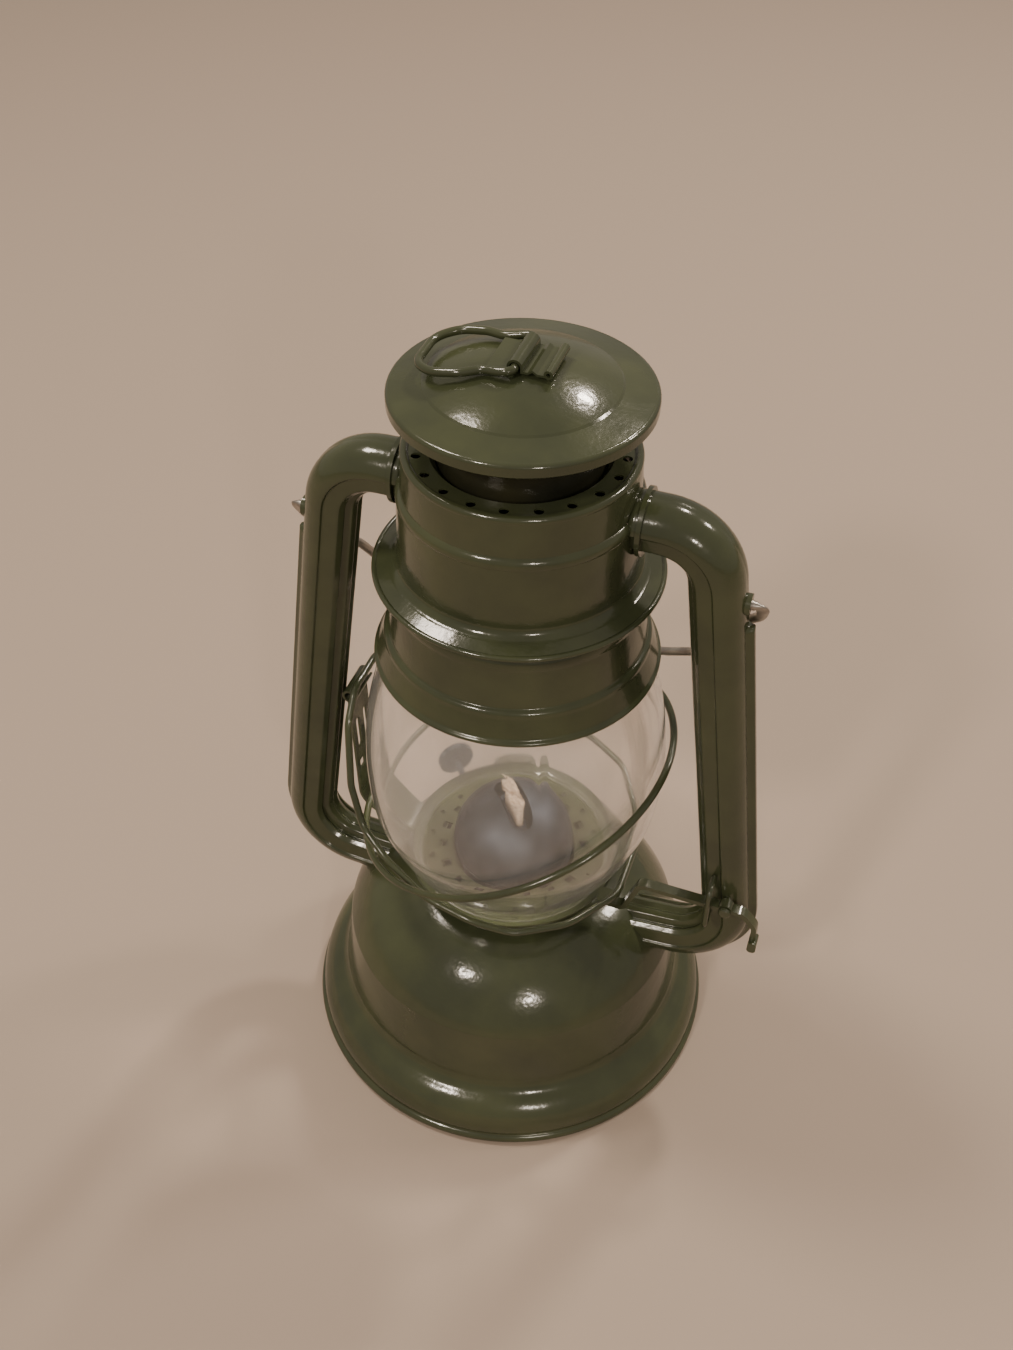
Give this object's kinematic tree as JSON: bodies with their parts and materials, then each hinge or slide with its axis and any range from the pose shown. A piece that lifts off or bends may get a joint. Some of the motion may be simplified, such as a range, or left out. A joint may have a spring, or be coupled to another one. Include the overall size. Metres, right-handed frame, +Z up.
{
  "type": "oil lamp",
  "caption": "Tubular hurricane oil lantern in olive enamelled sheet metal with side air tubes, glass globe, crossing guard wires, sliding hood and wire bail.",
  "frame": {"origin": "centre of the base on the surface it stands on", "axes": "+Z up the lantern's axis, +X towards the side tube with the lift lever, -Y to the front (the bail hangs to the back, +Y)"},
  "size_m": [0.1826, 0.15, 0.2839],
  "materials": {
    "olive_enamel": "gloss olive green stoving enamel with slight orange peel",
    "heated_enamel": "the same enamel dulled and browned by heat",
    "galvanised_wire": "dull galvanised steel wire",
    "spring_steel": "drawn spring wire",
    "burner_steel": "dull tinned steel, sooted at the slot",
    "globe_glass": "clear pressed glass with light haze",
    "wick_cotton": "woven cotton tape, charred at the top",
    "gasket_rubber": "matt black rubber"
  },
  "bodies": {
    "frame": {"font_shell": "olive_enamel", "font_bottom": "olive_enamel", "tank_ceiling": "olive_enamel", "burner_collar": "burner_steel", "filler_neck": "olive_enamel", "burner_base": "burner_steel", "wick_tube": "burner_steel", "burner_cone": "burner_steel", "shaft_bush": "burner_steel", "right_air_tube": "olive_enamel", "left_air_tube": "olive_enamel", "right_tube_collar": "olive_enamel", "left_tube_collar": "olive_enamel", "right_bail_lug": "olive_enamel", "left_bail_lug": "olive_enamel", "drum_shell": "olive_enamel", "vent_plate": "olive_enamel", "lever_staple": "olive_enamel", "lever_pivot_pin": "olive_enamel", "chimney_spring": "spring_steel"},
    "hood": {"cap": "olive_enamel", "cap_stays": "olive_enamel", "chimney_neck": "heated_enamel", "globe_holder": "olive_enamel", "ring_bracket": "olive_enamel"},
    "finger_ring": {"lift_ring": "olive_enamel"},
    "carrier": {"globe_plate": "olive_enamel", "guard_wire_right": "olive_enamel", "guard_wire_left": "olive_enamel", "guide_strip": "olive_enamel", "globe": "globe_glass"},
    "lever": {"lift_lever": "olive_enamel"},
    "wick_winder": {"wick_shaft": "burner_steel", "wick_sprockets": "burner_steel", "wick_knob": "burner_steel"},
    "wick_strip": {"wick": "wick_cotton"},
    "filler_seal": {"filler_gasket": "gasket_rubber"},
    "filler_screw_cap": {"filler_cap": "olive_enamel"},
    "bail": {"bail_wire": "galvanised_wire"}
  },
  "joints": [
    {"name": "bail_swing", "type": "hinge", "parent": "frame", "child": "bail", "pos_m": [0, 0, 0.214], "axis": [1, 0, 0], "range_deg": [0, 290]},
    {"name": "hood_lift", "type": "slide", "parent": "frame", "child": "hood", "axis": [0, 0, 1], "range_m": [0, 0.0065], "stiffness_N_per_m": 150, "springref_m": -0.02, "deforming": ["chimney_spring"]},
    {"name": "ring_flip", "type": "hinge", "parent": "hood", "child": "finger_ring", "pos_m": [0, 0, 0.2816], "axis": [0, 1, 0], "range_deg": [0, 160]},
    {"name": "carrier_lift", "type": "slide", "parent": "frame", "child": "carrier", "axis": [0, 0, 1], "range_m": [0, 0.005]},
    {"name": "lever_press", "type": "hinge", "parent": "frame", "child": "lever", "pos_m": [0.08, -0.0127, 0.0926], "axis": [0, 1, 0], "range_deg": [0, 7.5]},
    {"name": "wick_turn", "type": "hinge", "parent": "frame", "child": "wick_winder", "pos_m": [-0.00375, -0.00315, 0.075], "axis": [0.6428, -0.766, 0], "range_deg": [-80, 160]},
    {"name": "wick_lift", "type": "slide", "parent": "frame", "child": "wick_strip", "axis": [0, 0, 1], "range_m": [-0.0065, 0.0128]},
    {"name": "filler_turn", "type": "hinge", "parent": "filler_seal", "child": "filler_screw_cap", "pos_m": [-0.01295, 0.04518, 0.0602], "axis": [-0.1461, 0.5094, 0.848], "range_deg": [0, 1080]},
    {"name": "filler_lift", "type": "slide", "parent": "frame", "child": "filler_seal", "axis": [-0.1461, 0.5094, 0.848], "range_m": [0, 0.0061]}
  ],
  "couplings": [
    {"joint": "lever_press", "follows": "carrier_lift", "rad_per_m": 24.4},
    {"joint": "wick_lift", "follows": "wick_turn", "m_per_rad": 0.0045},
    {"joint": "filler_lift", "follows": "filler_turn", "m_per_rad": 0.000318}
  ]
}
